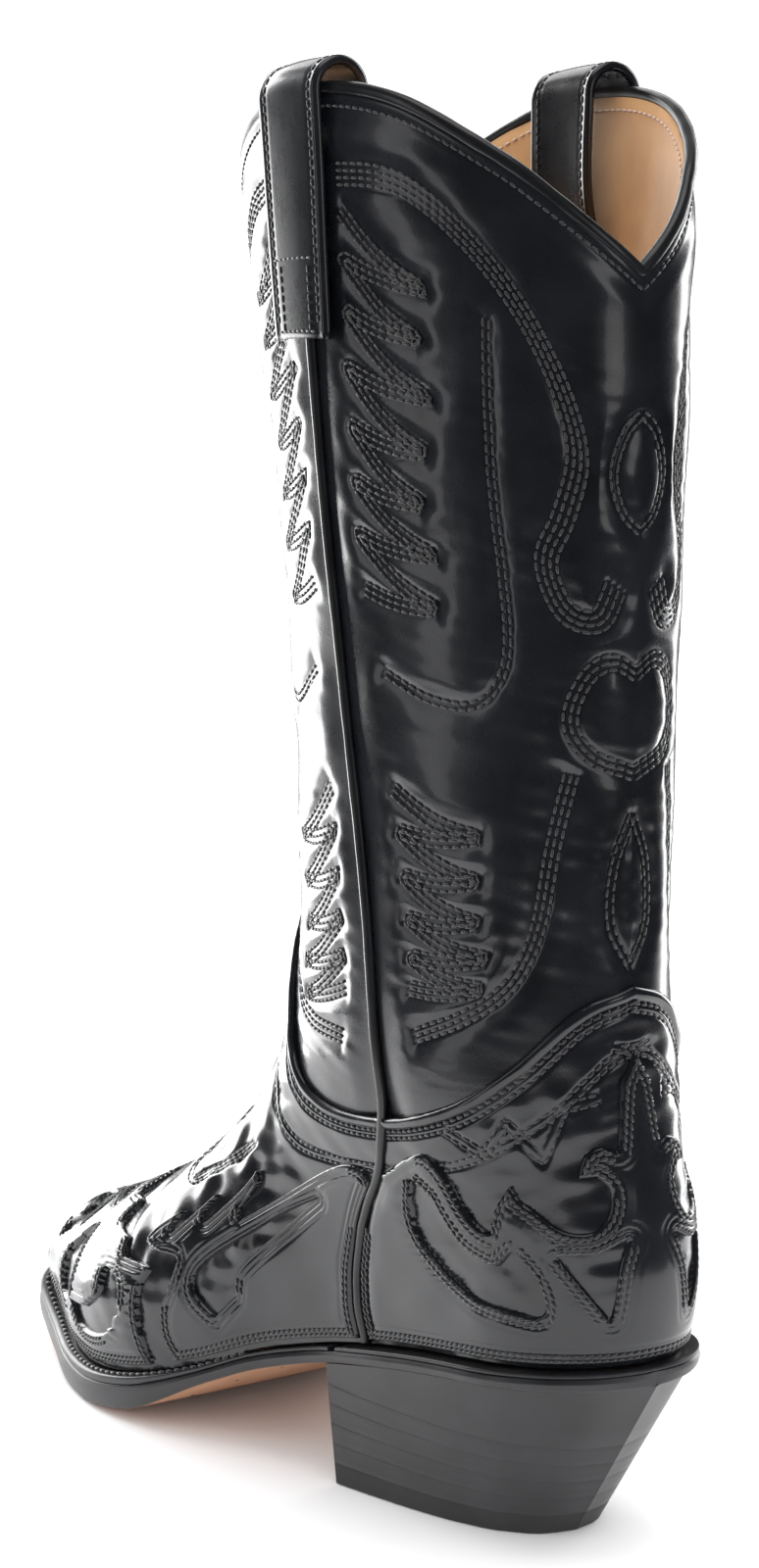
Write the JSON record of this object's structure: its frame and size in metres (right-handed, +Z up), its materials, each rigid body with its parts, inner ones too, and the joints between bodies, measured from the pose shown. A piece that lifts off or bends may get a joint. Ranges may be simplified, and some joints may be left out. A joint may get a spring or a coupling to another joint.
{
  "type": "cowboy boot",
  "caption": "Western pull-on boot with scalloped top, cut-out overlays on vamp and heel, piped side seams, pull straps, welted sole and an underslung stacked heel.",
  "frame": {"origin": "on the ground plane, under the middle of the bounding box", "axes": "+Z up the leg, -Y towards the toe, +Y towards the back of the heel, +X towards the inner side of a right foot"},
  "size_m": [0.1112, 0.2982, 0.4126],
  "materials": {
    "black_leather": "glossy polished black calf",
    "trim_leather": "satin black piping and edge binding",
    "lining_leather": "matt tan lining",
    "sole_leather": "smooth natural tan sole leather",
    "sole_edge": "waxed satin black edge",
    "leather_board": "matt fibre board",
    "cork": "matt granulated cork",
    "heel_rubber": "matt black rubber",
    "peg_wood": "dark end grain",
    "steel": "satin steel"
  },
  "bodies": {
    "root": {"back_shaft_lining": "lining_leather", "back_shaft_panel": "black_leather", "back_top_binding": "trim_leather", "cork_filler": "cork", "front_shaft_lining": "lining_leather", "front_shaft_panel": "black_leather", "front_top_binding": "trim_leather", "heel_base": "sole_edge", "heel_counter_cover": "black_leather", "heel_lift_1": "sole_edge", "heel_lift_2": "sole_edge", "heel_lift_3": "sole_edge", "heel_lift_4": "sole_edge", "heel_lining": "lining_leather", "heel_nail_1": "steel", "heel_nail_2": "steel", "heel_nail_3": "steel", "heel_nail_4": "steel", "heel_nail_5": "steel", "heel_overlay": "black_leather", "heel_rand": "sole_edge", "heel_stiffener": "leather_board", "insole": "sole_leather", "lateral_pull_strap": "black_leather", "lateral_side_piping": "trim_leather", "lateral_vamp_overlay": "black_leather", "medial_pull_strap": "black_leather", "medial_side_piping": "trim_leather", "medial_vamp_overlay": "black_leather", "outsole": "sole_leather", "rubber_top_lift": "heel_rubber", "sock_liner": "lining_leather", "steel_shank": "steel", "toe_overlay": "black_leather", "toe_puff": "leather_board", "vamp": "black_leather", "vamp_lining": "lining_leather", "waist_peg_1": "peg_wood", "waist_peg_2": "peg_wood", "waist_peg_3": "peg_wood", "waist_peg_4": "peg_wood", "waist_peg_5": "peg_wood", "waist_peg_6": "peg_wood", "waist_peg_7": "peg_wood", "waist_peg_8": "peg_wood", "welt": "sole_edge"}
  },
  "joints": []
}
